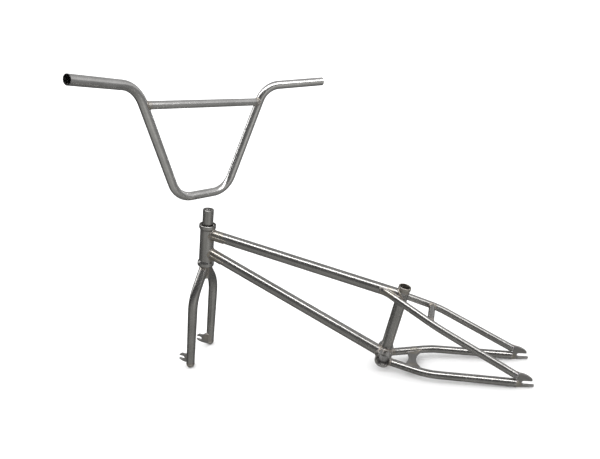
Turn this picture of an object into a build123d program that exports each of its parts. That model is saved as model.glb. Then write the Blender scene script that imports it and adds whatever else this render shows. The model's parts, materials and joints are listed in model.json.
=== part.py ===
from build123d import *
import os
from math import cos, radians, sin

# A bare BMX frame with its fork and handlebar, in millimetres.
# Row frame: +X forward, +Y to the rider's left, +Z up.
# The origin is the centre of the bottom bracket shell.

# Geometry of the frame, seen from the side
HEAD_ANGLE = 75.3
SEAT_ANGLE = 70.9
HEAD_TOP_X = 438.6
HEAD_TOP_Z = 370.7
HEAD_LENGTH = 119.0
TOP_TUBE_BELOW_HEAD_TOP = 26.0
DOWN_TUBE_BELOW_HEAD_TOP = 77.0
SEAT_TUBE_LENGTH = 203.0
TOP_TUBE_BELOW_SEAT_TOP = 25.0

# Main tubes
MAIN_TUBE_OD = 28.6
MAIN_TUBE_WALL = 1.2
SEATPOST_BORE = 25.5
SEATPOST_DEPTH = 150.0
SEAT_TUBE_BORE = 24.9
HEAD_BODY_OD = 38.0
HEAD_BORE = 34.0
CUP_OD = 44.6
CUP_BORE = 41.4
CUP_LENGTH = 9.0
CUP_DEPTH = 7.0
CUP_TAPER = 6.0
BB_WIDTH = 68.0
BB_OD = 40.0
BB_BORE = 34.0
BB_CHAMFER = 0.8
EDGE_BREAK = 0.5

# Seat tube collar and clamping slot
COLLAR_WALL = 1.3
COLLAR_HEIGHT = 8.0
CLAMP_SLOT_WIDTH = 3.0
CLAMP_SLOT_LENGTH = 22.0
CLAMP_SLOT_HOLE = 6.0

# Gussets under the top tube and the down tube, behind the head tube
GUSSET_WALL = 1.2
GUSSET_LENGTH = 40.0
GUSSET_END_SLOPE = 35.0

# Rear triangle, left side; the right side is its mirror image
STAY_WALL = 1.2
STAY_PLUG = 14.0
REAR_HUB_WIDTH = 110.0
DROPOUT_THICKNESS = 6.0
CHAINSTAY_OD = 19.5
CHAINSTAY_BEND_RADIUS = 150.0
CHAINSTAY_START = (-8.0, 19.8, -8.6)
CHAINSTAY_BEND = (-113.0, 57.5, -15.6)
CHAINSTAY_END_X = -308.0
CHAINSTAY_END_Z = -24.0
SEATSTAY_OD = 18.0
SEATSTAY_BEND_RADIUS = 200.0
SEATSTAY_AHEAD_OF_SEAT_TOP = 62.125
SEATSTAY_BELOW_SEAT_TOP = 1.825
SEATSTAY_START_Y = 4.0
SEATSTAY_BEND = (-140.0, 50.0, 110.0)
SEATSTAY_END_X = -311.0
SEATSTAY_END_Z = -3.0
SEATSTAY_BRIDGE_OD = 16.0
SEATSTAY_BRIDGE_SHARE = 0.89
CHAINSTAY_BRIDGE_X = -71.0
CHAINSTAY_BRIDGE_Z = -12.0
CHAINSTAY_BRIDGE_THICKNESS = 3.0
CHAINSTAY_BRIDGE_WAIST = 19.0
CHAINSTAY_BRIDGE_END = 44.0
CHAINSTAY_BRIDGE_SPAN = 66.0

# Axle slots
REAR_AXLE_X = -329.0
REAR_AXLE_Z = -22.0
AXLE_SLOT_WIDTH = 10.2
REAR_JAW_REACH = 21.0
REAR_JAW_DEPTH = 7.5
REAR_JAW_TIP_DEPTH = 4.5
REAR_HOOD_REACH = 18.0
REAR_HOOD_TIP_DEPTH = 4.5
REAR_HOOD_HEIGHT = 25.0
REAR_TIP_ROUND = 4.0
REAR_TIP_LIP = 1.0
REAR_HOOD_SHOULDER = 9.0
REAR_HOOD_DIP = 1.0
REAR_TOP_BEHIND_STAY = 8.0
REAR_NOSE = 6.0
REAR_NOSE_RISE = 4.0

# Fork, in the steering frame: +X forward, +Y left, +Z up the steering axis,
# with its origin at the centre of the head tube's lower face
STEERER_OD = 28.6
STEERER_BORE = 23.6
STEERER_ABOVE_HEAD = 42.0
STEERER_BELOW_HEAD = 38.0
STEERER_SEAT_INSIDE_HEAD = 10.0
STEERER_RELIEF = 0.2
RUNNING_GAP = 0.3
RACE_OD = 33.0
RACE_HEIGHT = 3.5
CROWN_OD = 44.0
CROWN_THICKNESS = 2.7
LEG_TOP_OD = 25.4
LEG_TIP_OD = 22.6
LEG_WALL = 1.6
LEG_HALF_SPACING = 62.0
LEG_OFFSET = 2.0
LEG_SPLAY = 37.5
LEG_BEND_DROP = 79.0
LEG_BEND_RADIUS = 100.0
LEG_TAPER_DROP = 125.0
LEG_LENGTH = 298.8
LEG_CAP_HEIGHT = 9.0
LEG_CAP_ROUND = 8.0
FRONT_HUB_WIDTH = 100.0
FRONT_AXLE_OFFSET = 30.0
FRONT_AXLE_DROP = 282.0
FRONT_JAW_REACH = 11.5
FRONT_PLATE_TOP = 20.0
FRONT_PLATE_BOTTOM = 12.5
FRONT_JAW_DEPTH = 7.5
FRONT_JAW_FILLET = 2.0
FRONT_TIP_SLOPE = 7.0
FRONT_TIP_TOP = 1.5
FRONT_TIP_BOTTOM = 2.0
FRONT_LOWER_JAW_DEPTH = 5.0
FRONT_LOWER_JAW_ROUND = 6.0

# Handlebar, in its own frame: +X forward, +Y left, +Z up the steering axis,
# with its origin at the centre of the clamping section
BAR_OD = 22.2
BAR_WALL = 1.6
BAR_HALF_CLAMP = 77.3
BAR_HALF_SHOULDER = 190.6
BAR_HALF_WIDTH = 362.0
BAR_RISE = 276.0
BAR_UPSWEEP = 21.0
BAR_BACKSWEEP = 52.0
BAR_LOWER_RADIUS = 62.0
BAR_UPPER_RADIUS = 68.0
BAR_ABOVE_STEERER = 34.5
BAR_REACH = 27.0
BAR_TURN = 26.4
CROSSBAR_OD = 19.0
CROSSBAR_WALL = 1.2
CROSSBAR_SHARE = 0.85


def along(start, end, share):
    """Point at a share of the way from start to end."""
    return tuple(a + (b - a) * share for a, b in zip(start, end))


def rod(start, end, diameter):
    """Solid round bar between two points."""
    axis = Vector(*end) - Vector(*start)
    section = Plane(origin=start, z_dir=axis) * Circle(diameter / 2)
    return extrude(section, axis.length)


def tube(start, end, outer, wall):
    """Open straight tube between two points."""
    return rod(start, end, outer) - rod(start, end, outer - 2 * wall)


def bent_rod(points, radius, diameter):
    """Solid round bar along straight runs joined by tangent arcs."""
    path = FilletPolyline(*points, radius=radius)
    section = Plane(origin=path @ 0, z_dir=path % 0) * Circle(diameter / 2)
    return sweep(section, path=path)


def turned(profile):
    """Solid of revolution about Z from (radius, height) corners."""
    return revolve(make_face(Plane.XZ * Polyline(*profile, close=True)), Axis.Z)


def eased(plate, direction):
    """Plate with the edges of its two flat faces broken."""
    edges = plate.edges().group_by(direction)
    return chamfer(edges[0] + edges[-1], EDGE_BREAK)


def beyond(points, distance):
    """The same route with its first run lengthened backwards."""
    first = Vector(*points[0])
    step = (first - Vector(*points[1])).normalized() * distance
    return [tuple(first + step)] + list(points[1:])


# Frames and points that the pieces share
HEAD_DOWN = (cos(radians(HEAD_ANGLE)), 0, -sin(radians(HEAD_ANGLE)))
HEAD_TOP = (HEAD_TOP_X, 0, HEAD_TOP_Z)
SEAT_UP = (-cos(radians(SEAT_ANGLE)), 0, sin(radians(SEAT_ANGLE)))


def down_head(distance):
    """Point on the steering axis, below the head tube's top."""
    return tuple(a + d * distance for a, d in zip(HEAD_TOP, HEAD_DOWN))


def up_seat(distance):
    """Point on the seat tube's axis, above the bottom bracket."""
    return tuple(d * distance for d in SEAT_UP)


STEERING = Plane(
    origin=down_head(HEAD_LENGTH),
    x_dir=(-HEAD_DOWN[2], 0, HEAD_DOWN[0]),
    z_dir=tuple(-d for d in HEAD_DOWN),
)
REAR_PLATE_Y = (REAR_HUB_WIDTH + DROPOUT_THICKNESS) / 2
SEAT_TOP_X, _, SEAT_TOP_Z = up_seat(SEAT_TUBE_LENGTH)
SEATSTAY_START = (
    SEAT_TOP_X + SEATSTAY_AHEAD_OF_SEAT_TOP,
    SEATSTAY_START_Y,
    SEAT_TOP_Z - SEATSTAY_BELOW_SEAT_TOP,
)
TOP_TUBE_ENDS = (up_seat(SEAT_TUBE_LENGTH - TOP_TUBE_BELOW_SEAT_TOP), down_head(TOP_TUBE_BELOW_HEAD_TOP))
DOWN_TUBE_ENDS = ((0, 0, 0), down_head(DOWN_TUBE_BELOW_HEAD_TOP))
CHAINSTAY_END = (CHAINSTAY_END_X, REAR_PLATE_Y, CHAINSTAY_END_Z)
SEATSTAY_END = (SEATSTAY_END_X, REAR_PLATE_Y, SEATSTAY_END_Z)
CHAINSTAY_ROUTE = [CHAINSTAY_START, CHAINSTAY_BEND, CHAINSTAY_END]
SEATSTAY_ROUTE = [SEATSTAY_START, SEATSTAY_BEND, SEATSTAY_END]


# Frame tubes

def head_tube_blank():
    """Head tube without its bore: straight body and two flared cups."""
    body, cup = HEAD_BODY_OD / 2, CUP_OD / 2
    flare = CUP_LENGTH + CUP_TAPER
    return STEERING * turned([
        (0, 0), (cup - EDGE_BREAK, 0), (cup, EDGE_BREAK), (cup, CUP_LENGTH), (body, flare),
        (body, HEAD_LENGTH - flare), (cup, HEAD_LENGTH - CUP_LENGTH),
        (cup, HEAD_LENGTH - EDGE_BREAK), (cup - EDGE_BREAK, HEAD_LENGTH), (0, HEAD_LENGTH),
    ])


def head_tube():
    bore, seat = HEAD_BORE / 2, CUP_BORE / 2
    hollow = STEERING * turned([
        (0, 0), (seat, 0), (seat, CUP_DEPTH), (bore, CUP_DEPTH),
        (bore, HEAD_LENGTH - CUP_DEPTH), (seat, HEAD_LENGTH - CUP_DEPTH),
        (seat, HEAD_LENGTH), (0, HEAD_LENGTH),
    ])
    return head_tube_blank() - hollow


def bottom_bracket_blank():
    half = BB_WIDTH / 2
    return rod((0, -half, 0), (0, half, 0), BB_OD)


def bottom_bracket_shell():
    half = BB_WIDTH / 2
    mouth = BB_BORE + 2 * BB_CHAMFER
    shell = bottom_bracket_blank() - rod((0, -half, 0), (0, half, 0), BB_BORE)
    for side in (-1, 1):
        face = Plane(origin=(0, side * half, 0), z_dir=(0, -side, 0))
        cone = Cone(mouth / 2, BB_BORE / 2, BB_CHAMFER, align=(Align.CENTER, Align.CENTER, Align.MIN))
        shell -= face * cone
    return shell


def seat_tube_blank():
    return rod((0, 0, 0), up_seat(SEAT_TUBE_LENGTH), MAIN_TUBE_OD)


def clamp_slot():
    """Cut through the back of the seat tube's top, ending in a round hole."""
    top = up_seat(SEAT_TUBE_LENGTH)
    frame = Plane(origin=top, x_dir=(-SEAT_UP[2], 0, SEAT_UP[0]), z_dir=SEAT_UP)
    back = (Align.MIN, Align.CENTER, Align.MAX)
    slit = Box(MAIN_TUBE_OD, CLAMP_SLOT_WIDTH, CLAMP_SLOT_LENGTH, align=back)
    hole = Pos(0, 0, -CLAMP_SLOT_LENGTH) * Rot(0, 90, 0) * Cylinder(
        CLAMP_SLOT_HOLE / 2, MAIN_TUBE_OD, align=(Align.CENTER, Align.CENTER, Align.MIN)
    )
    return frame * (slit + hole)


def seat_tube():
    """Tube with a wider bore for the seatpost in its upper part."""
    top = up_seat(SEAT_TUBE_LENGTH)
    post = rod(up_seat(SEAT_TUBE_LENGTH - SEATPOST_DEPTH), top, SEATPOST_BORE)
    bored = seat_tube_blank() - rod((0, 0, 0), top, SEAT_TUBE_BORE) - post
    return bored - bottom_bracket_blank() - clamp_slot()


def seat_collar():
    """Ring round the seat tube's top, split at the clamping slot."""
    low, high = up_seat(SEAT_TUBE_LENGTH - COLLAR_HEIGHT), up_seat(SEAT_TUBE_LENGTH)
    ring = eased(rod(low, high, MAIN_TUBE_OD + 2 * COLLAR_WALL), Axis((0, 0, 0), SEAT_UP))
    return ring - rod(low, high, MAIN_TUBE_OD) - clamp_slot()


def top_tube():
    return tube(*TOP_TUBE_ENDS, MAIN_TUBE_OD, MAIN_TUBE_WALL) - head_tube_blank() - seat_tube_blank()


def down_tube():
    cut = tube(*DOWN_TUBE_ENDS, MAIN_TUBE_OD, MAIN_TUBE_WALL) - head_tube_blank()
    return cut - bottom_bracket_blank() - seat_tube_blank()


def gusset(start, end):
    """Half sleeve under a main tube, welded to the head tube; its back end slopes."""
    reach = HEAD_BODY_OD / 2 + GUSSET_LENGTH
    back = along(end, start, reach / (Vector(*end) - Vector(*start)).length)
    sleeve = tube(back, end, MAIN_TUBE_OD + 2 * GUSSET_WALL, GUSSET_WALL)
    run = Vector(*end) - Vector(*back)
    frame = Plane(origin=back, x_dir=(0, 1, 0), z_dir=run)
    size = 4 * MAIN_TUBE_OD
    upper = Box(size, size, 2 * size, align=(Align.CENTER, Align.MIN, Align.CENTER))
    behind = Box(size, size, size, align=(Align.CENTER, Align.CENTER, Align.MAX))
    slope = Rot(-GUSSET_END_SLOPE, 0, 0)
    return sleeve - frame * upper - frame * (slope * behind) - head_tube_blank()


# Rear triangle, left side

def stay_blank(route, radius, diameter):
    """Solid stay with a rounded end at the dropout."""
    return bent_rod(route, radius, diameter) + Pos(*route[-1]) * Sphere(diameter / 2)


def stay_bore(route, radius, diameter):
    """Hollow of a stay, which stops short of its plugged end."""
    run = (Vector(*route[-1]) - Vector(*route[-2])).length
    short = along(route[-2], route[-1], 1 - STAY_PLUG / run)
    return bent_rod(beyond(route[:-1] + [short], 1.0), radius, diameter - 2 * STAY_WALL)


def chainstay_blank():
    return stay_blank(CHAINSTAY_ROUTE, CHAINSTAY_BEND_RADIUS, CHAINSTAY_OD)


def chainstay():
    hollow = stay_bore(CHAINSTAY_ROUTE, CHAINSTAY_BEND_RADIUS, CHAINSTAY_OD)
    return chainstay_blank() - hollow - bottom_bracket_blank() - rear_dropout()


def seatstay_blank():
    return stay_blank(SEATSTAY_ROUTE, SEATSTAY_BEND_RADIUS, SEATSTAY_OD)


def seatstay():
    hollow = stay_bore(SEATSTAY_ROUTE, SEATSTAY_BEND_RADIUS, SEATSTAY_OD)
    stay = seatstay_blank() - hollow - rod(*TOP_TUBE_ENDS, MAIN_TUBE_OD)
    return stay - seat_tube_blank() - rear_dropout()


def rear_dropout():
    """Plate with a slot open to the rear, a hooded upper jaw and a longer lower jaw."""
    half = AXLE_SLOT_WIDTH / 2
    bottom = -half - REAR_JAW_DEPTH
    front = CHAINSTAY_END_X - REAR_AXLE_X
    upper = SEATSTAY_END_Z - REAR_AXLE_Z
    tip = -REAR_JAW_REACH
    tip_bottom = -half - REAR_JAW_TIP_DEPTH
    hood = -REAR_HOOD_REACH
    hood_top = half + REAR_HOOD_TIP_DEPTH
    tip_start = (tip + REAR_TIP_ROUND, tip_bottom)
    tip_middle = (tip + REAR_TIP_LIP, tip_bottom + REAR_TIP_LIP)
    tip_end = (tip, -half - REAR_TIP_LIP)
    shoulder = (hood + REAR_HOOD_SHOULDER, upper - REAR_HOOD_DIP)
    top = (front - REAR_TOP_BEHIND_STAY, REAR_HOOD_HEIGHT)
    nose = (front + REAR_NOSE, upper + REAR_NOSE_RISE)
    edge = [
        Line((front, bottom), tip_start),
        ThreePointArc(tip_start, tip_middle, tip_end),
        Line(tip_end, (tip, half)),
        Line((tip, half), (hood, half)),
        Line((hood, half), (hood, hood_top)),
        ThreePointArc((hood, hood_top), shoulder, top),
        Line(top, nose),
        ThreePointArc(nose, (front - REAR_NOSE, upper / 2), (front, bottom)),
    ]
    slot_length = 2 * REAR_JAW_REACH
    slot = Pos(-slot_length / 2, 0) * Rectangle(slot_length, AXLE_SLOT_WIDTH) + Circle(half)
    plate = make_face(edge) - slot
    inner_face = REAR_HUB_WIDTH / 2 + DROPOUT_THICKNESS
    frame = Plane(origin=(REAR_AXLE_X, inner_face, REAR_AXLE_Z), x_dir=(1, 0, 0), z_dir=(0, -1, 0))
    return eased(extrude(frame * plate, DROPOUT_THICKNESS), Axis.Y)


def seatstay_bridge():
    """Straight tube between the seatstays, ahead of their bends."""
    left = along(SEATSTAY_START, SEATSTAY_BEND, SEATSTAY_BRIDGE_SHARE)
    right = (left[0], -left[1], left[2])
    bridge = tube(left, right, SEATSTAY_BRIDGE_OD, STAY_WALL)
    stay = seatstay_blank()
    return bridge - stay - mirror(stay, about=Plane.XZ)


def chainstay_bridge():
    """Flat plate between the chainstays, with a concave front and back edge."""
    waist, end = CHAINSTAY_BRIDGE_WAIST / 2, CHAINSTAY_BRIDGE_END / 2
    side, span = CHAINSTAY_BEND[1], CHAINSTAY_BRIDGE_SPAN / 2
    edge = [
        ThreePointArc((end, -span), (waist, 0), (end, span)),
        Polyline((end, span), (end, side), (-end, side), (-end, span)),
        ThreePointArc((-end, span), (-waist, 0), (-end, -span)),
        Polyline((-end, -span), (-end, -side), (end, -side), (end, -span)),
    ]
    place = Pos(CHAINSTAY_BRIDGE_X, 0, CHAINSTAY_BRIDGE_Z - CHAINSTAY_BRIDGE_THICKNESS / 2)
    plate = eased(extrude(place * make_face(edge), CHAINSTAY_BRIDGE_THICKNESS), Axis.Z)
    stay = chainstay_blank()
    left, right = outer_side(stay), mirror(outer_side(stay), about=Plane.XZ)
    return plate - stay - mirror(stay, about=Plane.XZ) - left - right


def outer_side(stay):
    """Everything from a left stay's axis outwards, near the bridge."""
    start, bend = CHAINSTAY_START, CHAINSTAY_BEND
    run = Vector(bend[0] - start[0], bend[1] - start[1], 0)
    frame = Plane(origin=(start[0], start[1], 0), x_dir=run, z_dir=(0, 0, 1))
    length = run.length + CHAINSTAY_BRIDGE_END
    block = Box(length, length, length, align=(Align.MIN, Align.MAX, Align.CENTER))
    return frame * Pos(-CHAINSTAY_BRIDGE_END / 2, 0, 0) * block


# Fork

def steerer_blank():
    """Solid steerer: full diameter at both bearing seats, slightly slimmer between them."""
    low, top = -STEERER_BELOW_HEAD, HEAD_LENGTH + STEERER_ABOVE_HEAD
    full = STEERER_OD / 2
    slim = full - STEERER_RELIEF
    lower, upper = RACE_HEIGHT, HEAD_LENGTH - STEERER_SEAT_INSIDE_HEAD
    return turned([
        (0, low), (full - EDGE_BREAK, low), (full, low + EDGE_BREAK), (full, lower), (slim, lower),
        (slim, upper), (full, upper), (full, top - EDGE_BREAK), (full - EDGE_BREAK, top), (0, top),
    ])


def steerer_tube():
    bore = rod((0, 0, -STEERER_BELOW_HEAD), (0, 0, HEAD_LENGTH + STEERER_ABOVE_HEAD), STEERER_BORE)
    return STEERING * (steerer_blank() - bore)


def crown_race():
    """Ring under the head tube: a shoulder outside and the lower bearing's seat inside."""
    bore, race, crown = STEERER_OD / 2, RACE_OD / 2, CROWN_OD / 2
    shoulder = -RUNNING_GAP
    low = shoulder - CROWN_THICKNESS
    return STEERING * turned([
        (bore, low), (crown - CROWN_THICKNESS, low), (crown, shoulder), (race, shoulder),
        (race - 1, shoulder + RACE_HEIGHT), (bore, shoulder + RACE_HEIGHT),
    ])


def leg_route():
    """Left leg's axis, from the steering axis to the end of its bend."""
    bend = (LEG_OFFSET, LEG_HALF_SPACING, -LEG_BEND_DROP)
    slope = radians(LEG_SPLAY)
    run = LEG_HALF_SPACING / sin(slope)
    start = (0, bend[1] - run * sin(slope) * 1.1, bend[2] + run * cos(slope) * 1.1)
    return [start, bend, (LEG_OFFSET, LEG_HALF_SPACING, -LEG_TAPER_DROP)]


def leg_blank(inset):
    """Solid leg, bent at the top and tapered below, smaller all round by the inset."""
    top, tip = LEG_TOP_OD / 2 - inset, LEG_TIP_OD / 2 - inset
    bent = bent_rod(leg_route(), LEG_BEND_RADIUS, 2 * top)
    length = LEG_LENGTH - LEG_CAP_HEIGHT - LEG_TAPER_DROP
    place = Pos(LEG_OFFSET, LEG_HALF_SPACING, LEG_CAP_HEIGHT - LEG_LENGTH)
    return bent + place * Cone(tip, top, length, align=(Align.CENTER, Align.CENTER, Align.MIN))


def fork_leg():
    size = 4 * LEG_HALF_SPACING
    under = -RUNNING_GAP - CROWN_THICKNESS
    above = Pos(0, 0, under) * Box(size, size, size, align=(Align.CENTER, Align.CENTER, Align.MIN))
    leg = leg_blank(0) - leg_blank(LEG_WALL) - steerer_blank() - above
    return STEERING * leg


def leg_cap():
    """Rounded plug that closes the leg's lower end."""
    base = Pos(LEG_OFFSET, LEG_HALF_SPACING, -LEG_LENGTH)
    cap = Cylinder(LEG_TIP_OD / 2, LEG_CAP_HEIGHT, align=(Align.CENTER, Align.CENTER, Align.MIN))
    lower_edge = cap.edges().sort_by(Axis.Z)[0]
    return STEERING * base * fillet(lower_edge, LEG_CAP_ROUND)


def fork_dropout():
    """Plate in front of the leg, with a slot open to the front between two jaws."""
    half = AXLE_SLOT_WIDTH / 2
    back = LEG_OFFSET - FRONT_AXLE_OFFSET
    tip = FRONT_JAW_REACH
    neck = half + FRONT_JAW_DEPTH
    tip_top = (tip, half + FRONT_TIP_TOP)
    tip_bottom = (tip, -half - FRONT_TIP_BOTTOM)
    belly = (tip - FRONT_LOWER_JAW_ROUND, -half - FRONT_LOWER_JAW_DEPTH)
    edge = [
        Line((back, -FRONT_PLATE_BOTTOM), (back, FRONT_PLATE_TOP)),
        Line((back, FRONT_PLATE_TOP), (back / 2, FRONT_PLATE_TOP)),
        ThreePointArc((back / 2, FRONT_PLATE_TOP), (back / 3, neck + FRONT_JAW_FILLET), (0, neck)),
        Line((0, neck), (tip - FRONT_TIP_SLOPE, neck)),
        Line((tip - FRONT_TIP_SLOPE, neck), tip_top),
        Line(tip_top, tip_bottom),
        ThreePointArc(tip_bottom, belly, (back / 3, -FRONT_PLATE_BOTTOM)),
        Line((back / 3, -FRONT_PLATE_BOTTOM), (back, -FRONT_PLATE_BOTTOM)),
    ]
    slot = Pos(tip, 0) * Rectangle(2 * tip, AXLE_SLOT_WIDTH) + Circle(half)
    plate = make_face(edge) - slot
    outer_face = FRONT_HUB_WIDTH / 2 + DROPOUT_THICKNESS
    place = Plane(
        origin=(FRONT_AXLE_OFFSET, outer_face, -FRONT_AXLE_DROP), x_dir=(1, 0, 0), z_dir=(0, -1, 0)
    )
    whole = eased(extrude(place * plate, DROPOUT_THICKNESS), Axis.Y)
    return STEERING * (whole - leg_blank(0)) - leg_cap()


# Handlebar

STEERER_TOP = HEAD_LENGTH + STEERER_ABOVE_HEAD
BAR = STEERING.location * Pos(0, 0, STEERER_TOP + BAR_ABOVE_STEERER) * Rot(0, 0, -BAR_TURN)
BAR = BAR * Pos(BAR_REACH, 0, 0)
BAR_LEFT = [
    (-BAR_BACKSWEEP, BAR_HALF_WIDTH, BAR_RISE + BAR_UPSWEEP),
    (0, BAR_HALF_SHOULDER, BAR_RISE),
    (0, BAR_HALF_CLAMP, 0),
]
BAR_ROUTE = BAR_LEFT + [(x, -y, z) for x, y, z in reversed(BAR_LEFT)]
BAR_RADII = [BAR_UPPER_RADIUS, BAR_LOWER_RADIUS, BAR_LOWER_RADIUS, BAR_UPPER_RADIUS]


def handlebar_blank():
    return bent_rod(BAR_ROUTE, BAR_RADII, BAR_OD)


def handlebar_tube():
    return BAR * (handlebar_blank() - bent_rod(BAR_ROUTE, BAR_RADII, BAR_OD - 2 * BAR_WALL))


def crossbar():
    """Brace between the two uprights, just under the upper bends."""
    left = along(BAR_LEFT[2], BAR_LEFT[1], CROSSBAR_SHARE)
    right = (left[0], -left[1], left[2])
    return BAR * (tube(left, right, CROSSBAR_OD, CROSSBAR_WALL) - handlebar_blank())


def both_sides(name, left):
    return {"left_" + name: left, "right_" + name: mirror(left, about=Plane.XZ)}


def pieces():
    """Every separate piece by name, in its place."""
    return {
        "head_tube": head_tube(),
        "top_tube": top_tube(),
        "down_tube": down_tube(),
        "top_tube_gusset": gusset(*TOP_TUBE_ENDS),
        "down_tube_gusset": gusset(*DOWN_TUBE_ENDS),
        "seat_tube": seat_tube(),
        "seat_collar": seat_collar(),
        "bottom_bracket_shell": bottom_bracket_shell(),
        **both_sides("chainstay", chainstay()),
        **both_sides("seatstay", seatstay()),
        **both_sides("rear_dropout", rear_dropout()),
        "chainstay_bridge": chainstay_bridge(),
        "seatstay_bridge": seatstay_bridge(),
        "steerer_tube": steerer_tube(),
        "crown_race": crown_race(),
        **both_sides("fork_leg", fork_leg()),
        **both_sides("leg_cap", leg_cap()),
        **both_sides("fork_dropout", fork_dropout()),
        "handlebar_tube": handlebar_tube(),
        "crossbar": crossbar(),
    }


os.makedirs("parts", exist_ok=True)
for name, piece in pieces().items():
    export_step(piece, "parts/" + name + ".step")
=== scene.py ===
import json
import math

import bmesh
import bpy
import numpy as np
from bpy.props import FloatProperty, FloatVectorProperty, PointerProperty
from mathutils import Matrix, Vector
from mathutils.bvhtree import BVHTree
from mathutils.noise import noise


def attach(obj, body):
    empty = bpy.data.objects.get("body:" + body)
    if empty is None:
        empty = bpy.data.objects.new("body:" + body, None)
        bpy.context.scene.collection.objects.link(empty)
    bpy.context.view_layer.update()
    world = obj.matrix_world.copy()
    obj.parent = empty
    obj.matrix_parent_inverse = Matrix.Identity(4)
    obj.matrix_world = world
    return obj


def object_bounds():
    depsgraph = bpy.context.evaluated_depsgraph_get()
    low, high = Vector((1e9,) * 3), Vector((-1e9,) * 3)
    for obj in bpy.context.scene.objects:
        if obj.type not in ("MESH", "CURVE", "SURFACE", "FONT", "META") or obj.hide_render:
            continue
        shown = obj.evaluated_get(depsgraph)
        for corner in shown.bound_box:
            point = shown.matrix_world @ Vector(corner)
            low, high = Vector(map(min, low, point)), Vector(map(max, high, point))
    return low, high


bl_info = {
    "name": "Bare BMX Frameset Finish",
    "version": (1, 0, 0),
    "blender": (4, 5, 0),
    "location": "3D View > Sidebar > Frameset",
    "description": "Weld beads, threads and raw steel finishes for a bare frame, fork and handlebar",
    "category": "Object",
}

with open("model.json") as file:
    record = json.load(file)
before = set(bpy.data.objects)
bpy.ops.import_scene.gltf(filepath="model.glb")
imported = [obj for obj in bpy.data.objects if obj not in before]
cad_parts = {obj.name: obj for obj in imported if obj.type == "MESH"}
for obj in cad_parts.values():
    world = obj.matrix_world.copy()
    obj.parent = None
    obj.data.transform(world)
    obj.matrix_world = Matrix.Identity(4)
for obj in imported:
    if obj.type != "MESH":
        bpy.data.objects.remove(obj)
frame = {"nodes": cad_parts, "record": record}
NODES = frame["nodes"]
RECORD = frame["record"]
CAD_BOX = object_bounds()
MM = 0.001

# Seams: where the cut end of one piece lies on its neighbour
JOIN = 0.01 * MM
SEAM_REACH = 0.2 * MM
SHARP = math.radians(18)
SHORTEST_SEAM = 5 * MM
SAME_SEAM = 5 * MM
SMOOTHING_PASSES = 6

# Weld beads: the cut piece, the piece it is welded to, and the bead's size against the usual one
WELDS = {
    "frame": [
        ("top_tube", "head_tube", 1.0),
        ("down_tube", "head_tube", 1.0),
        ("top_tube_gusset", "head_tube", 0.7),
        ("down_tube_gusset", "head_tube", 0.7),
        ("top_tube_gusset", "top_tube", 0.55),
        ("down_tube_gusset", "down_tube", 0.55),
        ("top_tube", "seat_tube", 1.0),
        ("down_tube", "bottom_bracket_shell", 1.0),
        ("seat_tube", "bottom_bracket_shell", 1.0),
        ("down_tube", "seat_tube", 0.9),
        ("left_chainstay", "bottom_bracket_shell", 0.9),
        ("right_chainstay", "bottom_bracket_shell", 0.9),
        ("left_seatstay", "top_tube", 0.85),
        ("right_seatstay", "top_tube", 0.85),
        ("left_seatstay", "seat_tube", 0.85),
        ("right_seatstay", "seat_tube", 0.85),
        ("seatstay_bridge", "left_seatstay", 0.8),
        ("seatstay_bridge", "right_seatstay", 0.8),
        ("chainstay_bridge", "left_chainstay", 0.7),
        ("chainstay_bridge", "right_chainstay", 0.7),
        ("left_chainstay", "left_rear_dropout", 0.7),
        ("right_chainstay", "right_rear_dropout", 0.7),
        ("left_seatstay", "left_rear_dropout", 0.7),
        ("right_seatstay", "right_rear_dropout", 0.7),
        ("seat_collar", "seat_tube", 0.4),
    ],
    "fork": [
        ("left_fork_leg", "steerer_tube", 1.0),
        ("right_fork_leg", "steerer_tube", 1.0),
        ("left_fork_leg", "crown_race", 0.8),
        ("right_fork_leg", "crown_race", 0.8),
        ("left_fork_dropout", "left_fork_leg", 0.7),
        ("right_fork_dropout", "right_fork_leg", 0.7),
        ("left_leg_cap", "left_fork_leg", 0.35),
        ("right_leg_cap", "right_fork_leg", 0.35),
    ],
    "handlebar": [
        ("crossbar", "handlebar_tube", 0.9),
    ],
}

# A bead's section: half its height and half its width, as shares of its stated width
BEAD_SIDES = 14
BEAD_HALF_HEIGHT = 0.36
BEAD_HALF_WIDTH = 0.58

# Along a bead: ripples as crescents, slow swelling, and ends that narrow to a point
RINGS_PER_RIPPLE = 6
FEWEST_RINGS = 8
CRESCENT = 0.45
SWELLING = 0.09
SWELLING_LENGTH = 9 * MM
NARROWEST_END = 0.02

# How many of the longest welds tint a piece
MOST_HEATED = 4

# Threads: pitch, how far the cut runs in from the mouth, and the ridge's profile in pitches
SHELL_PITCH = 1.06 * MM
SHELL_THREAD_RUN = 21 * MM
STEERER_PITCH = 1.5 * MM
STEERER_THREAD_RUN = 24 * MM
THREAD_STEPS = 40
THREAD_ROOT = 0.46
THREAD_CREST = 0.08
THREAD_SUNK = 0.05 * MM

# Floor: a wide disc just under the frameset, with faint wear
FLOOR_SIDES = 96
FLOOR_RADIUS = 14.0
FLOOR_GAP = 0.2 * MM
WEAR_SIZE = 0.4
WEAR_SHADE = 0.985

# Lamps: place from the frameset's middle, then width and height
SOFTBOX_PLACE = (0, 0, 2.6)
SOFTBOX_SIZE = (3.4, 3.4)
SOFTBOX_POWER = 16
STRIP_PLACE = (0.1, 0.75, 2.3)
STRIP_SIZE = (3.4, 0.16)
REAR_STRIP_PLACE = (-1.7, -0.2, 1.7)
REAR_STRIP_SIZE = (0.3, 1.6)

# Camera: where it looks from, and the shell's place in its view
VIEW_AZIMUTH = math.radians(199.2)
VIEW_ELEVATION = math.radians(17.8)
VIEW_ROLL = math.radians(-7.8)
SHELL_RIGHT = 0.2194
SHELL_UP = -0.3228
SHELL_AHEAD = 1.3181
SENSOR = 36.0


# Arithmetic on shader sockets

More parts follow.
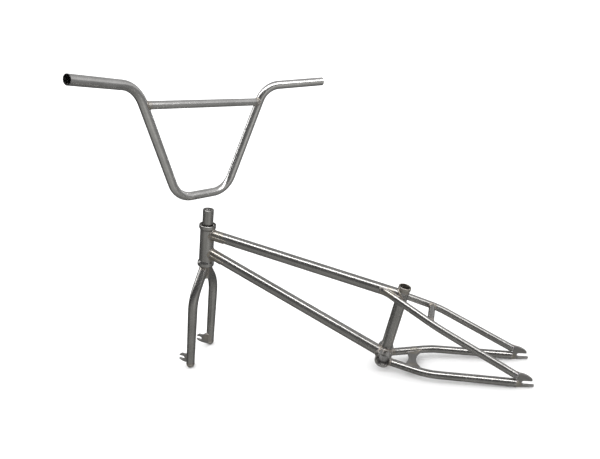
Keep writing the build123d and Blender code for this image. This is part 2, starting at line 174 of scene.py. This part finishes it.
class Signal:
    """An output socket that arithmetic works on."""

    def __init__(self, finish, socket):
        self.finish = finish
        self.socket = socket

    def output(self, name):
        """Another output of the same node."""
        return Signal(self.finish, self.socket.node.outputs[name])

    def maths(self, operation, first, second=0.0):
        return self.finish.node("Math", {"operation": operation}, {0: first, 1: second})

    def __add__(self, other):
        return self.maths("ADD", self, other)

    def __sub__(self, other):
        return self.maths("SUBTRACT", self, other)

    def __rsub__(self, other):
        return self.maths("SUBTRACT", other, self)

    def __mul__(self, other):
        return self.maths("MULTIPLY", self, other)

    def __abs__(self):
        return self.maths("ABSOLUTE", self)

    __radd__ = __add__
    __rmul__ = __mul__

    def larger(self, other):
        """The larger of the two values."""
        return self.maths("MAXIMUM", self, other)

    def over(self, other):
        """Angle whose tangent is this value over the other, from -pi to pi."""
        return self.maths("ARCTAN2", self, other)

    def between(self, low, high):
        """0 below the low value, 1 above the high one, and smooth between them."""
        settings = {"interpolation_type": "SMOOTHSTEP"}
        values = {"Value": self, "From Min": low, "From Max": high}
        return self.finish.node("MapRange", settings, values)


class Finish:
    """A node tree, filled through one method."""

    def __init__(self, owner):
        owner.use_nodes = True
        self.tree = owner.node_tree
        self.tree.nodes.clear()

    def node(self, kind, settings=None, values=None, output=0):
        """One node: its settings first, then its sockets' values or links."""
        made = self.tree.nodes.new("ShaderNode" + kind)
        for key, value in (settings or {}).items():
            if key == "stops":
                self.fill_ramp(made.color_ramp, value)
            else:
                setattr(made, key, value)
        for key, value in (values or {}).items():
            if isinstance(value, Signal):
                self.tree.links.new(value.socket, made.inputs[key])
            else:
                made.inputs[key].default_value = value
        if not made.outputs:
            return None
        return Signal(self, made.outputs[output])

    def fill_ramp(self, ramp, stops):
        while len(ramp.elements) < len(stops):
            ramp.elements.new(1.0)
        for element, (position, colour) in zip(ramp.elements, stops):
            element.position = position
            element.color = (*colour, 1)

    def place(self):
        """Coordinates of the piece, in metres."""
        return self.node("TexCoord", output="Object")

    def vector(self, operation, *terms, scale=1.0, output=0):
        """Vector arithmetic on the terms, in order."""
        values = dict(enumerate(terms))
        if operation == "SCALE":
            values["Scale"] = scale
        return self.node("VectorMath", {"operation": operation}, values, output)

    def mix(self, factor, first, second):
        """One colour laid over another by a factor."""
        values = {0: factor, 6: first, 7: second}
        return self.node("Mix", {"data_type": "RGBA"}, values, 2)

    def speckle(self, place, size, detail=3.0):
        """Noise from 0 to 1 whose grains are about this size, in metres."""
        return self.node("TexNoise", None, {"Vector": place, "Scale": 0.5 / size, "Detail": detail})

    def drawn_out(self, place, direction, share):
        """Coordinates shortened along a direction, so that a pattern on them runs along it."""
        length = self.vector("DOT_PRODUCT", place, direction, output="Value")
        along = self.vector("SCALE", direction, scale=length * (1 - share))
        return self.vector("SUBTRACT", place, along)


# Steel: sizes of the marks on it, and the roughness that they add on average
BAND_SIZE = 2.4 * MM
CLOUD_SIZE = 22 * MM
SPOT_SIZE = 1.6 * MM
SCRATCH_SIZE = 3.5 * MM
SCRATCH_WIDTH = 0.006
SCRATCH_STRETCH = 0.06
NICK_SIZE = 6 * MM
NICK_WIDTH = 0.004
NICK_LEAN = Vector((0.31, 0.52, 0.79))
BUMP_HEIGHT = 0.12 * MM
ROUGHNESS_OF_MARKS = 0.07

# Weld metal: sizes of its films and grains
FILM_SIZE = 5 * MM
WELD_GRAIN = 0.5 * MM
WELD_BUMP_HEIGHT = 0.1 * MM
WELD_TROUGH = (0.24, 0.23, 0.22, 1)


class SteelSettings(bpy.types.PropertyGroup):
    """Colours and gloss of the raw steel."""

    tube_colour: FloatVectorProperty(
        name="Tube Colour", description="Clear-coated raw steel of the frame and fork tubes",
        subtype="COLOR", size=3, min=0, max=1, default=(0.50, 0.49, 0.475),
    )
    turned_colour: FloatVectorProperty(
        name="Turned Colour", description="Head tube, shell, collar and leg caps",
        subtype="COLOR", size=3, min=0, max=1, default=(0.52, 0.51, 0.495),
    )
    plate_colour: FloatVectorProperty(
        name="Plate Colour", description="Dropouts, bridge plate and gussets",
        subtype="COLOR", size=3, min=0, max=1, default=(0.41, 0.40, 0.39),
    )
    bar_colour: FloatVectorProperty(
        name="Bar Colour", description="Handlebar tube and crossbar",
        subtype="COLOR", size=3, min=0, max=1, default=(0.84, 0.83, 0.815),
    )
    weld_colour: FloatVectorProperty(
        name="Weld Colour", description="Weld metal before its heat tint",
        subtype="COLOR", size=3, min=0, max=1, default=(0.50, 0.48, 0.45),
    )
    roughness: FloatProperty(
        name="Roughness", description="Average roughness of a drawn tube",
        subtype="FACTOR", min=0.05, max=0.9, default=0.22,
    )
    heat_reach: FloatProperty(
        name="Heat Reach", description="How far from a weld the steel is tinted",
        subtype="DISTANCE", unit="LENGTH", min=0.0, max=0.05, default=11 * MM,
    )
    heat_amount: FloatProperty(
        name="Heat Tint", description="Strength of the tint beside the welds",
        subtype="FACTOR", min=0.0, max=1.0, default=0.30,
    )


# Heat tints, from the blue at the tint's edge to the straw beside the weld
HEAT_TINTS = [
    (0.0, (0.30, 0.34, 0.42)),
    (0.35, (0.36, 0.33, 0.46)),
    (0.6, (0.50, 0.38, 0.27)),
    (1.0, (0.56, 0.50, 0.38)),
]

# Each kind of steel: width and stretch of its drawing lines, bump strength, added roughness
GRAIN = {
    "raw_tube": {"line": 0.45 * MM, "stretch": 0.012, "bump": 0.03, "rough": 0.0},
    "turned_steel": {"line": 0.35 * MM, "stretch": 0.04, "bump": 0.04, "rough": 0.03},
    "plate_steel": {"line": 0.6 * MM, "stretch": 0.25, "bump": 0.10, "rough": 0.08},
    "bar_tube": {"line": 0.4 * MM, "stretch": 0.02, "bump": 0.02, "rough": -0.02},
}


def long_axis(node):
    """Direction in which a piece is longest."""
    points = np.array([v.co for v in NODES[node].data.vertices])
    _, directions = np.linalg.eigh(np.cov((points - points.mean(0)).T))
    return tuple(float(x) for x in directions[:, -1])


def heat_near(finish, place, zones, reach):
    """1 at a weld's line, falling to 0 at the reach, from each weld's centre and radius."""
    heat = None
    for centre, radius in zones:
        gap = finish.vector("DISTANCE", place, tuple(centre), output="Value")
        past = gap * gap - radius * radius
        near = 1 - past.between(0.0, reach * reach)
        heat = near if heat is None else heat.larger(near)
    return heat


def scratches(finish, place, direction, size, width):
    """Thin wandering lines, mostly along a direction."""
    lines = finish.speckle(finish.drawn_out(place, direction, SCRATCH_STRETCH), size, 2.0)
    return 1 - abs(lines - 0.5).between(0.0, width)


def shaded(colour, share):
    """A colour made darker or lighter, with its alpha."""
    return tuple(min(1.0, share * c) for c in colour) + (1,)


def steel(name, kind, colour, direction, zones, settings):
    """Raw steel under clear coat: drawing lines, cloudy patches, fine scratches and heat tint."""
    grain = GRAIN[kind]
    material = bpy.data.materials.new(name)
    finish = Finish(material)
    place = finish.place()
    drawn = finish.drawn_out(place, direction, grain["stretch"])
    lines = finish.speckle(drawn, grain["line"], 2.0)
    bands = finish.speckle(drawn, BAND_SIZE, 3.0)
    cloud = finish.speckle(place, CLOUD_SIZE, 4.0)
    spots = finish.speckle(place, SPOT_SIZE, 5.0).between(0.62, 0.72)
    across = Vector(direction).cross(NICK_LEAN).normalized()
    scars = scratches(finish, place, direction, SCRATCH_SIZE, SCRATCH_WIDTH)
    nicks = scratches(finish, place, tuple(across), NICK_SIZE, NICK_WIDTH)
    marks = scars.larger(nicks)

    tone = cloud.between(0.25, 0.75) * 0.45 + bands.between(0.3, 0.7) * 0.35 + lines * 0.2
    shade = finish.mix(tone, shaded(colour, 0.80), shaded(colour, 1.14))
    shade = finish.mix(spots * 0.35, shade, shaded(colour, 0.62))
    shade = finish.mix(marks * 0.30, shade, shaded(colour, 1.5))
    smooth = settings.roughness + grain["rough"] - ROUGHNESS_OF_MARKS
    rough = cloud * 0.10 + lines * 0.07 + spots * 0.10 + marks * 0.12 + smooth
    if zones:
        heat = heat_near(finish, place, zones, settings.heat_reach)
        ripple = heat + (cloud - 0.5) * 0.35
        tint = finish.node("ValToRGB", {"stops": HEAT_TINTS}, {"Fac": ripple})
        shade = finish.mix(heat.between(0.05, 0.5) * settings.heat_amount, shade, tint)
        rough = rough + heat * 0.07
    height = lines * 0.5 + bands * 0.4 - marks * 0.5 - spots * 0.3
    bump = finish.node("Bump", None, {
        "Strength": grain["bump"], "Distance": BUMP_HEIGHT, "Height": height,
    })
    surface = finish.node("BsdfPrincipled", None, {
        "Base Color": shade, "Metallic": 1.0, "Roughness": rough, "Normal": bump,
        "Coat Weight": 0.12, "Coat Roughness": 0.12, "Coat IOR": 1.5,
    })
    finish.node("OutputMaterial", None, {"Surface": surface})
    return material


def weld_metal(name, settings):
    """Weld metal: straw and blue films with darker grains."""
    material = bpy.data.materials.new(name)
    finish = Finish(material)
    place = finish.place()
    film = finish.speckle(place, FILM_SIZE, 2.0)
    fine = finish.speckle(place, WELD_GRAIN, 4.0)
    tint = finish.node("ValToRGB", {"stops": HEAT_TINTS}, {"Fac": film.between(0.3, 0.7)})
    shade = finish.mix(0.45 * film.between(0.35, 0.65), (*settings.weld_colour, 1), tint)
    shade = finish.mix(fine.between(0.55, 0.75) * 0.4, shade, WELD_TROUGH)
    rough = fine * 0.2 + film * 0.1 + 0.2
    bump = finish.node("Bump", None, {
        "Strength": 0.25, "Distance": WELD_BUMP_HEIGHT, "Height": fine,
    })
    surface = finish.node("BsdfPrincipled", None, {
        "Base Color": shade, "Metallic": 1.0, "Roughness": rough, "Normal": bump,
    })
    finish.node("OutputMaterial", None, {"Surface": surface})
    return material


# Meshes

def new_piece(name, points, faces, body, material):
    """A smooth mesh object that rides on a body."""
    mesh = bpy.data.meshes.new(name)
    mesh.from_pydata([tuple(p) for p in points], [], faces)
    mesh.validate()
    mesh.shade_smooth()
    piece = bpy.data.objects.new(name, mesh)
    bpy.context.scene.collection.objects.link(piece)
    piece.data.materials.append(material)
    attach(piece, body)


def ring_faces(rings, sides, closed):
    """Quads between neighbouring rings, with the ends of an open run capped."""
    faces = []
    for i in range(rings if closed else rings - 1):
        a, b = i * sides, (i + 1) % rings * sides
        for k in range(sides):
            n = (k + 1) % sides
            faces.append((a + k, a + n, b + n, b + k))
    if not closed:
        last = (rings - 1) * sides
        faces.append(tuple(reversed(range(sides))))
        faces.append(tuple(last + k for k in range(sides)))
    return faces


def joined_mesh(node):
    """The node's mesh with its split vertices joined."""
    mesh = bmesh.new()
    mesh.from_mesh(NODES[node].data)
    bmesh.ops.remove_doubles(mesh, verts=mesh.verts, dist=JOIN)
    mesh.normal_update()
    return mesh


def seam_edges(mesh, surface):
    """Sharp edges that lie on the neighbour, each with the direction of the open side."""
    found = []
    for edge in mesh.edges:
        if len(edge.link_faces) != 2 or edge.calc_face_angle() < SHARP:
            continue
        hits = [surface.find_nearest(vert.co, SEAM_REACH) for vert in edge.verts]
        if any(hit[0] is None for hit in hits):
            continue
        under = (hits[0][1] + hits[1][1]).normalized()
        outer = max(edge.link_faces, key=lambda face: face.normal.dot(under))
        found.append((edge, (outer.normal + under).normalized()))
    return found


def seam_runs(edges):
    """Edges joined end to end: rows of point and open side, and whether the run closes."""
    beside = {}
    for edge, lift in edges:
        for vert in edge.verts:
            beside.setdefault(vert, []).append((edge, lift))
    unused = {edge for edge, _ in edges}
    runs = []
    for start in sorted(beside, key=lambda vert: len(beside[vert]) == 2):
        path, vert = [start], start
        while step := next((edge for edge, _ in beside[vert] if edge in unused), None):
            unused.discard(step)
            vert = step.other_vert(vert)
            path.append(vert)
        closed = len(path) > 3 and path[0] is path[-1]
        if closed:
            path.pop()
        if len(path) > 2:
            rows = [[*v.co, *sum((lift for _, lift in beside[v]), Vector())] for v in path]
            runs.append((np.array(rows), closed))
    return runs


def evened(rows, closed, step):
    """Rows spaced evenly along the run and smoothed, with the run's length."""
    loop = np.vstack([rows, rows[:1]]) if closed else rows
    run = np.r_[0, np.cumsum(np.linalg.norm(np.diff(loop[:, :3], axis=0), axis=1))]
    count = max(FEWEST_RINGS, round(run[-1] / step))
    at = np.linspace(0, run[-1], count, endpoint=not closed)
    even = np.column_stack([np.interp(at, run, column) for column in loop.T])
    for _ in range(SMOOTHING_PASSES):
        near = (np.roll(even, 1, axis=0) + np.roll(even, -1, axis=0)) / 2
        if closed:
            even = (even + near) / 2
        else:
            even[1:-1] = (even[1:-1] + near[1:-1]) / 2
    return even, run[-1]


def mean_gap(points, others):
    """Average distance from each point to the nearest of the others."""
    return np.linalg.norm(points[:, None] - others[None], axis=2).min(1).mean()


def outer_runs(runs):
    """The longest runs, without the inner edge of a tube's wall that follows one of them."""
    kept = []
    lengths = [np.linalg.norm(np.diff(rows[:, :3], axis=0), axis=1).sum() for rows, _ in runs]
    for index in sorted(range(len(runs)), key=lambda i: -lengths[i]):
        rows = runs[index][0][:, :3]
        if lengths[index] < SHORTEST_SEAM:
            continue
        if all(mean_gap(rows, other[:, :3]) > SAME_SEAM for other, _ in kept):
            kept.append(runs[index])
    return kept


def units(rows):
    """Each row's direction, one long."""
    return rows / np.maximum(np.linalg.norm(rows, axis=1, keepdims=True), 1e-9)


def bead_rings(rows, length, closed, width, settings):
    """Rings of a rippled bead along a run, inside the box of the CAD: rings by sides by three."""
    points, lift = rows[:, :3], units(rows[:, 3:])
    ahead, behind = np.roll(points, -1, axis=0), np.roll(points, 1, axis=0)
    if not closed:
        ahead[-1], behind[0] = points[-1], points[0]
    forward = units(ahead - behind)
    side = units(np.cross(forward, lift))
    lift = units(np.cross(side, forward))
    ripples = max(2, round(length / settings.ripple_pitch))
    travel = np.linspace(0, 1, len(points), endpoint=not closed)
    swell = 1 + SWELLING * np.array([noise(Vector(p) / SWELLING_LENGTH) for p in points])
    if not closed:
        end = np.minimum(travel, 1 - travel) * length / width
        swell *= np.sqrt(np.clip(end, NARROWEST_END, 1))
    rings = np.empty((len(points), BEAD_SIDES, 3))
    for k in range(BEAD_SIDES):
        turn = 2 * math.pi * k / BEAD_SIDES
        phase = (travel * ripples + CRESCENT * math.cos(turn)) % 1
        scallop = 1 - settings.ripple_depth * (2 * phase - 1) ** 2
        up = BEAD_HALF_HEIGHT * width * math.cos(turn) * swell * scallop
        out = BEAD_HALF_WIDTH * width * math.sin(turn) * swell * scallop
        rings[:, k] = points + lift * up[:, None] + side * out[:, None]
    return np.clip(rings, *CAD_BOX)


def thread_piece(name, mouth, inward, radius, pitch, run, depth, body, material):
    """A helical ridge inside a round mouth, fading out at both ends."""
    inward = Vector(inward).normalized()
    first = inward.orthogonal().normalized()
    second = inward.cross(first)
    points = []
    count = round(run / pitch * THREAD_STEPS)
    for i in range(count + 1):
        angle = 2 * math.pi * i / THREAD_STEPS
        spoke = first * math.cos(angle) + second * math.sin(angle)
        centre = Vector(mouth) + inward * (pitch * i / THREAD_STEPS)
        fade = min(1.0, 2 * min(i, count - i) / THREAD_STEPS)
        root, crest = radius + THREAD_SUNK, radius - depth * fade
        profile = (
            (root, -THREAD_ROOT), (crest, -THREAD_CREST), (crest, THREAD_CREST), (root, THREAD_ROOT),
        )
        for reach, offset in profile:
            points.append(centre + spoke * reach + inward * (pitch * offset))
    faces = ring_faces(count + 1, len(profile), False)
    new_piece(name, points, faces, body, material)


# Settings and operators

class WeldSettings(bpy.types.PropertyGroup):
    """Sizes of the weld beads."""

    bead_width: FloatProperty(
        name="Bead Width", description="Width of a main joint's bead",
        subtype="DISTANCE", unit="LENGTH", min=0.5 * MM, max=12 * MM, default=5.2 * MM,
    )
    ripple_pitch: FloatProperty(
        name="Ripple Pitch", description="Distance from one ripple to the next",
        subtype="DISTANCE", unit="LENGTH", min=0.3 * MM, max=6 * MM, default=1.9 * MM,
    )
    ripple_depth: FloatProperty(
        name="Ripple Depth", description="How deep the ripples are, against the bead",
        subtype="FACTOR", min=0.0, max=0.5, default=0.16,
    )


class ThreadSettings(bpy.types.PropertyGroup):
    """Sizes of the threads."""

    shell_depth: FloatProperty(
        name="Shell Thread Depth", description="Height of the ridges in the bottom bracket shell",
        subtype="DISTANCE", unit="LENGTH", min=0.05 * MM, max=1 * MM, default=0.35 * MM,
    )
    steerer_depth: FloatProperty(
        name="Steerer Thread Depth", description="Height of the ridges in the steerer's top",
        subtype="DISTANCE", unit="LENGTH", min=0.05 * MM, max=1 * MM, default=0.55 * MM,
    )


class StudioSettings(bpy.types.PropertyGroup):
    """Floor, lights and camera."""

    floor_colour: FloatVectorProperty(
        name="Floor Colour", description="Pale floor under the frameset",
        subtype="COLOR", size=3, min=0, max=1, default=(0.90, 0.90, 0.90),
    )
    sky: FloatProperty(
        name="Sky", description="Brightness of the soft light from all round",
        min=0.0, max=10.0, default=1.5,
    )
    reflected: FloatProperty(
        name="Reflected Room", description="Brightness of the room that the steel mirrors",
        min=0.0, max=10.0, default=1.0,
    )
    window: FloatProperty(
        name="Rear Window", description="Extra brightness of the mirrored room behind the frame",
        min=0.0, max=10.0, default=0.55,
    )
    dark_side: FloatProperty(
        name="Dark Side", description="How much darker the mirrored room is ahead of the frame",
        min=0.0, max=1.0, default=0.60,
    )
    band: FloatProperty(
        name="Bright Band", description="Brightness of the band overhead that draws the highlights",
        min=0.0, max=20.0, default=10.0,
    )
    strip: FloatProperty(
        name="Strip Light", description="Power of the long lamp that draws the highlights",
        subtype="POWER", unit="POWER", min=0.0, max=500.0, default=9.0,
    )
    rear_strip: FloatProperty(
        name="Rear Strip Light", description="Power of the lamp above the dropouts",
        subtype="POWER", unit="POWER", min=0.0, max=500.0, default=3.0,
    )
    lens: FloatProperty(
        name="Lens", description="Focal length", subtype="DISTANCE_CAMERA", unit="CAMERA",
        min=10.0, max=200.0, default=30.34,
    )


class FramesetSettings(bpy.types.PropertyGroup):
    """Everything that can be changed."""

    steel: PointerProperty(type=SteelSettings, name="Steel", description="Colours and gloss")
    welds: PointerProperty(type=WeldSettings, name="Welds", description="Bead sizes")
    threads: PointerProperty(type=ThreadSettings, name="Threads", description="Thread sizes")
    studio: PointerProperty(type=StudioSettings, name="Studio", description="Floor, lights and camera")


# Length, centre and radius of each weld on a piece
HEATED = {name: [] for name in NODES}


def settings_of(context):
    """The frameset's settings in the scene."""
    return context.scene.frameset


def weld_body(body, settings):
    """Every bead on one body, and the zones of steel that they heat."""
    metal = weld_metal(f"{body}_weld_metal", settings.steel)
    meshes = {name: joined_mesh(name) for pair in WELDS[body] for name in pair[:2]}
    for cut, base, size in WELDS[body]:
        surface = BVHTree.FromBMesh(meshes[base])
        runs = outer_runs(seam_runs(seam_edges(meshes[cut], surface)))
        if not runs:
            raise RuntimeError(f"no seam between {cut} and {base}")
        points, faces = [], []
        width = settings.welds.bead_width * size
        for rows, closed in runs:
            step = settings.welds.ripple_pitch / RINGS_PER_RIPPLE
            even, length = evened(rows, closed, step)
            rings = bead_rings(even, length, closed, width, settings.welds)
            centre = even[:, :3].mean(0)
            radius = float(np.linalg.norm(even[:, :3] - centre, axis=1).mean())
            for name in (cut, base):
                HEATED[name].append((length, Vector(centre), radius))
            start = len(points)
            points += list(rings.reshape(-1, 3))
            for face in ring_faces(len(rings), BEAD_SIDES, closed):
                faces.append(tuple(start + corner for corner in face))
        new_piece(f"weld_{cut}_to_{base}", points, faces, body, metal)
    for mesh in meshes.values():
        mesh.free()


class FRAMESET_OT_frame_welds(bpy.types.Operator):
    """Lay the weld beads of the frame's joints"""

    bl_idname = "frameset.frame_welds"
    bl_label = "Frame Welds"

    def execute(self, context):
        weld_body("frame", settings_of(context))
        return {"FINISHED"}


class FRAMESET_OT_fork_welds(bpy.types.Operator):
    """Lay the weld beads of the fork's crown, caps and dropouts"""

    bl_idname = "frameset.fork_welds"
    bl_label = "Fork Welds"

    def execute(self, context):
        weld_body("fork", settings_of(context))
        return {"FINISHED"}


class FRAMESET_OT_bar_welds(bpy.types.Operator):
    """Lay the weld beads at the crossbar's ends"""

    bl_idname = "frameset.bar_welds"
    bl_label = "Handlebar Welds"

    def execute(self, context):
        weld_body("handlebar", settings_of(context))
        return {"FINISHED"}


def mount(name):
    """A named mount's place, axis, radius and length, in metres."""
    found = next(m for m in RECORD["mounts"] if m["name"] == name)
    dims = found["dims"]
    return Vector(found["pos_m"]), Vector(found["axis"]), dims["r_mm"] * MM, dims["length_mm"] * MM


class FRAMESET_OT_threads(bpy.types.Operator):
    """Cut the threads in the bottom bracket shell and in the steerer's top"""

    bl_idname = "frameset.threads"
    bl_label = "Threads"

    def execute(self, context):
        settings = settings_of(context)
        kinds = settings.steel
        metal = steel("thread_steel", "turned_steel", kinds.turned_colour, (0, 1, 0), [], kinds)
        centre, axis, radius, length = mount("bottom_bracket")
        depth = settings.threads.shell_depth
        for side, name in ((1, "left"), (-1, "right")):
            mouth = centre + axis * (side * length / 2)
            thread_piece(
                f"{name}_shell_thread", mouth, axis * -side, radius, SHELL_PITCH,
                SHELL_THREAD_RUN, depth, "frame", metal,
            )
        centre, axis, radius, length = mount("steerer_bore")
        mouth = centre + axis * (length / 2 - STEERER_PITCH)
        depth = settings.threads.steerer_depth
        thread_piece(
            "steerer_thread", mouth, -axis, radius, STEERER_PITCH,
            STEERER_THREAD_RUN, depth, "fork", metal,
        )
        return {"FINISHED"}


class FRAMESET_OT_steel(bpy.types.Operator):
    """Give every tube, plate and turned piece its raw steel finish"""

    bl_idname = "frameset.steel"
    bl_label = "Raw Steel"

    def execute(self, context):
        settings = settings_of(context).steel
        colours = {
            "raw_tube": settings.tube_colour, "turned_steel": settings.turned_colour,
            "plate_steel": settings.plate_colour, "bar_tube": settings.bar_colour,
        }
        for part in RECORD["subparts"]:
            name, kind = part["node"], part["material_slot"]
            hottest = sorted(HEATED[name], key=lambda zone: -zone[0])[:MOST_HEATED]
            zones = [(centre, radius) for _, centre, radius in hottest]
            made = steel(f"{name}_steel", kind, colours[kind], long_axis(name), zones, settings)
            materials = NODES[name].data.materials
            if not materials:
                materials.append(made)
            for index in range(len(materials)):
                materials[index] = made
        return {"FINISHED"}


# The room that the steel mirrors, once round the frame's long axis
ROOM = [
    (0.0, (0.16, 0.16, 0.16)),
    (0.10, (0.11, 0.11, 0.11)),
    (0.25, (0.17, 0.17, 0.165)),
    (0.38, (0.30, 0.30, 0.29)),
    (0.46, (0.29, 0.29, 0.28)),
    (0.53, (0.11, 0.11, 0.11)),
    (0.63, (0.04, 0.04, 0.04)),
    (0.70, (0.50, 0.50, 0.50)),
    (0.80, (0.30, 0.30, 0.30)),
    (1.0, (0.34, 0.34, 0.34)),
]
BAND_AT = 0.70
BAND_HALF_WIDTH = 0.03

# How far back or ahead a direction points where the window or the dark side starts and is full
REAR_WINDOW = (0.15, 0.75)
DARK_SIDE = (0.35, 0.95)


def camera_frame():
    """Right, up and back of the camera, with its roll."""
    a, e = VIEW_AZIMUTH, VIEW_ELEVATION
    back = Vector((math.sin(a) * math.cos(e), -math.cos(a) * math.cos(e), math.sin(e)))
    right = (-back).cross(Vector((0, 0, 1))).normalized()
    right = Matrix.Rotation(-VIEW_ROLL, 3, -back) @ right
    return right, right.cross(-back), back


def add_room(settings):
    """White to the eye and to the floor; to the steel, a dim room with a bright band overhead."""
    world = bpy.data.worlds.new("studio_room")
    bpy.context.scene.world = world
    room = Finish(world)
    direction = room.node("TexCoord", output="Generated")
    parts = room.node("SeparateXYZ", None, {0: direction})
    ahead, across, upward = (parts.output(axis) for axis in "XYZ")
    turn = upward.over(across) * (0.5 / math.pi) + 0.5
    mirrored = room.node("ValToRGB", {"stops": ROOM}, {"Fac": turn})
    band = 1 - abs(turn - BAND_AT).between(0.0, BAND_HALF_WIDTH)
    glossy = room.node("LightPath", output="Is Glossy Ray")
    rearward = (0.0 - ahead).between(*REAR_WINDOW) * settings.window
    forward = ahead.between(*DARK_SIDE) * settings.dark_side
    seen = rearward - forward + band * settings.band + (settings.reflected - settings.sky)
    strength = glossy * seen + settings.sky
    colour = room.mix(glossy, (1, 1, 1, 1), mirrored)
    light = room.node("Background", None, {"Color": colour, "Strength": strength})
    room.node("OutputWorld", None, {"Surface": light})


def add_lamp(name, offset, size, power, glossy=True, diffuse=True):
    """A soft rectangular lamp that faces the frameset's middle."""
    data = bpy.data.lights.new(name, "AREA")
    data.shape = "RECTANGLE"
    data.size, data.size_y = size
    data.energy = power
    lamp = bpy.data.objects.new(name, data)
    bpy.context.scene.collection.objects.link(lamp)
    middle = (CAD_BOX[0] + CAD_BOX[1]) / 2
    lamp.location = middle + Vector(offset)
    lamp.rotation_euler = (-Vector(offset)).to_track_quat("-Z", "Y").to_euler()
    lamp.visible_camera = False
    lamp.visible_glossy = glossy
    lamp.visible_diffuse = diffuse


def add_floor(settings):
    """A pale round floor, just under the frameset."""
    low, high = CAD_BOX
    turns = [2 * math.pi * k / FLOOR_SIDES for k in range(FLOOR_SIDES)]
    rim = [(FLOOR_RADIUS * math.cos(turn), FLOOR_RADIUS * math.sin(turn), 0) for turn in turns]
    mesh = bpy.data.meshes.new("floor")
    mesh.from_pydata(rim, [], [tuple(range(FLOOR_SIDES))])
    floor = bpy.data.objects.new("floor", mesh)
    middle = (low + high) / 2
    floor.location = (middle.x, middle.y, low.z - FLOOR_GAP)
    bpy.context.scene.collection.objects.link(floor)
    floor.visible_glossy = False
    pale = bpy.data.materials.new("pale_floor")
    finish = Finish(pale)
    wear = finish.speckle(finish.place(), WEAR_SIZE, 2.0)
    worn = shaded(settings.floor_colour, WEAR_SHADE)
    shade = finish.mix(wear, worn, (*settings.floor_colour, 1))
    surface = finish.node("BsdfPrincipled", None, {
        "Base Color": shade, "Roughness": 0.9, "Specular IOR Level": 0.0,
    })
    finish.node("OutputMaterial", None, {"Surface": surface})
    mesh.materials.append(pale)


def add_lamps(settings):
    """A softbox overhead, and two strips that only the steel mirrors."""
    add_lamp("ceiling_softbox", SOFTBOX_PLACE, SOFTBOX_SIZE, SOFTBOX_POWER, glossy=False)
    add_lamp("highlight_strip", STRIP_PLACE, STRIP_SIZE, settings.strip, diffuse=False)
    add_lamp("rear_strip", REAR_STRIP_PLACE, REAR_STRIP_SIZE, settings.rear_strip, diffuse=False)


def add_camera(settings):
    """A camera beside the frameset, turned and rolled to its view of the shell."""
    data = bpy.data.cameras.new("studio_camera")
    data.sensor_width = SENSOR
    data.lens = settings.lens
    camera = bpy.data.objects.new("studio_camera", data)
    bpy.context.scene.collection.objects.link(camera)
    right, up, back = camera_frame()
    camera.matrix_world = Matrix((right, up, back)).transposed().to_4x4()
    camera.location = -(right * SHELL_RIGHT + up * SHELL_UP - back * SHELL_AHEAD)
    bpy.context.scene.camera = camera


class FRAMESET_OT_stage(bpy.types.Operator):
    """Put down the floor, the lamps and the camera"""

    bl_idname = "frameset.stage"
    bl_label = "Studio"

    def execute(self, context):
        settings = settings_of(context).studio
        add_room(settings)
        add_floor(settings)
        add_lamps(settings)
        add_camera(settings)
        context.scene.view_settings.view_transform = "Standard"
        return {"FINISHED"}


OPERATORS = (
    FRAMESET_OT_frame_welds,
    FRAMESET_OT_fork_welds,
    FRAMESET_OT_bar_welds,
    FRAMESET_OT_threads,
    FRAMESET_OT_steel,
    FRAMESET_OT_stage,
)


class FRAMESET_PT_sidebar(bpy.types.Panel):
    """Lists the frameset's settings and operators"""

    bl_idname = "FRAMESET_PT_sidebar"
    bl_label = "Frameset"
    bl_space_type = "VIEW_3D"
    bl_region_type = "UI"
    bl_category = "Frameset"

    def draw(self, context):
        settings = settings_of(context)
        for group in (settings.steel, settings.welds, settings.threads, settings.studio):
            box = self.layout.box()
            for key in group.bl_rna.properties.keys():
                if key not in {"name", "rna_type"}:
                    box.prop(group, key)
        for operator in OPERATORS:
            self.layout.operator(operator.bl_idname)


CLASSES = (
    SteelSettings,
    WeldSettings,
    ThreadSettings,
    StudioSettings,
    FramesetSettings,
    *OPERATORS,
    FRAMESET_PT_sidebar,
)


def register():
    for item in CLASSES:
        bpy.utils.register_class(item)
    bpy.types.Scene.frameset = PointerProperty(type=FramesetSettings)


def unregister():
    del bpy.types.Scene.frameset
    for item in reversed(CLASSES):
        bpy.utils.unregister_class(item)


def main():
    register()
    bpy.ops.frameset.frame_welds()
    bpy.ops.frameset.fork_welds()
    bpy.ops.frameset.bar_welds()
    bpy.ops.frameset.threads()
    bpy.ops.frameset.steel()
    bpy.ops.frameset.stage()


if __name__ == "__main__":
    main()
